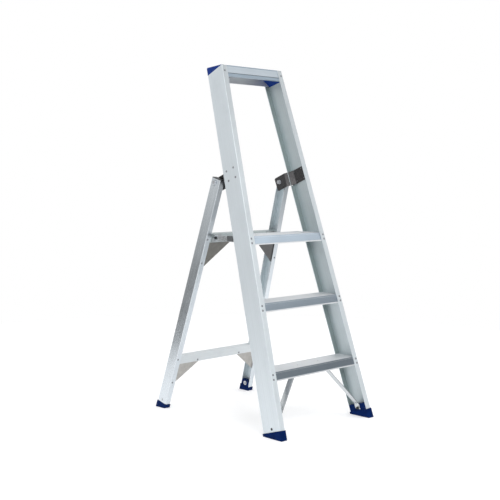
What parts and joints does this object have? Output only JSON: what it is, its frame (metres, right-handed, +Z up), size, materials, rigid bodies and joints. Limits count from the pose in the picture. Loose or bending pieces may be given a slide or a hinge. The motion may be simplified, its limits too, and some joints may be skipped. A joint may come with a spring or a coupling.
{
  "type": "platform stepladder",
  "caption": "Free-standing aluminium stepladder with ribbed treads, a small platform, a tall handrail hoop and a folding rear frame held by two lift-off stays.",
  "frame": {"origin": "on the floor, at the centre of the open ladder's footprint", "axes": "+Z up; +Y from the climbing side to the back; +X to the right of someone about to climb"},
  "size_m": [0.6356, 0.83, 1.6062],
  "materials": {
    "aluminium": "extruded aluminium, mill finish",
    "tread_aluminium": "ribbed extruded aluminium",
    "strip": "flat aluminium strip",
    "blue_plastic": "moulded plastic, deep blue",
    "dark_steel": "dark coated steel",
    "gusset_steel": "plain steel sheet",
    "zinc_steel": "zinc-plated steel",
    "bracket_steel": "zinc-plated steel sheet",
    "dark_plastic": "moulded plastic, dark grey"
  },
  "bodies": {
    "front_frame": {"stile_left": "aluminium", "stile_right": "aluminium", "bottom_tread": "tread_aluminium", "middle_tread": "tread_aluminium", "platform": "tread_aluminium", "top_bar": "aluminium", "corner_cap_left": "blue_plastic", "corner_cap_right": "blue_plastic", "front_foot_left": "blue_plastic", "front_foot_right": "blue_plastic", "foot_brace_left": "strip", "foot_brace_right": "strip", "hinge_plate_left": "dark_steel", "hinge_plate_right": "dark_steel", "stay_bracket_left": "bracket_steel", "stay_bracket_right": "bracket_steel", "front_foot_bolts": "zinc_steel", "stay_pivots": "zinc_steel", "tread_front_rivets": "zinc_steel", "tread_rear_rivets": "zinc_steel", "hinge_plate_rivets": "zinc_steel", "top_bar_rivets": "zinc_steel", "stay_bracket_rivets": "zinc_steel", "foot_brace_rivets": "zinc_steel"},
    "rear_frame": {"rear_leg_left": "aluminium", "rear_leg_right": "aluminium", "upper_rear_brace": "aluminium", "lower_rear_brace": "aluminium", "rear_foot_left": "blue_plastic", "rear_foot_right": "blue_plastic", "catch_bracket_left": "bracket_steel", "catch_bracket_right": "bracket_steel", "upper_gusset_left": "gusset_steel", "upper_gusset_right": "gusset_steel", "lower_gusset_left": "gusset_steel", "lower_gusset_right": "gusset_steel", "hinge_bolt_left": "zinc_steel", "hinge_bolt_right": "zinc_steel", "hinge_bush_left": "zinc_steel", "hinge_bush_right": "zinc_steel", "hinge_nuts": "zinc_steel", "hinge_washers": "zinc_steel", "catch_pins": "zinc_steel", "rear_foot_bolts": "zinc_steel", "rear_brace_rivets": "zinc_steel", "gusset_rivets": "zinc_steel", "gusset_tip_rivets": "zinc_steel", "catch_bracket_rivets": "zinc_steel", "leg_cap_left": "dark_plastic", "leg_cap_right": "dark_plastic"},
    "left_stay": {"stay_left": "strip", "stay_grip_left": "dark_plastic"},
    "right_stay": {"stay_right": "strip", "stay_grip_right": "dark_plastic"}
  },
  "joints": [
    {"name": "rear_fold", "type": "hinge", "parent": "front_frame", "child": "rear_frame", "pos_m": [0, 0.0981, 1.0755], "axis": [-1, 0, 0], "range_deg": [0, 26]},
    {"name": "left_stay_lift", "type": "hinge", "parent": "front_frame", "child": "left_stay", "pos_m": [-0.21215, -0.02615, 0.822], "axis": [1, 0, 0], "range_deg": [0, 72.3]},
    {"name": "right_stay_lift", "type": "hinge", "parent": "front_frame", "child": "right_stay", "pos_m": [0.21215, -0.02615, 0.822], "axis": [1, 0, 0], "range_deg": [0, 72.3]}
  ],
  "couplings": [
    {"joint": "left_stay_lift", "follows": "rear_fold", "ratio": 2.777},
    {"joint": "right_stay_lift", "follows": "rear_fold", "ratio": 2.777}
  ]
}
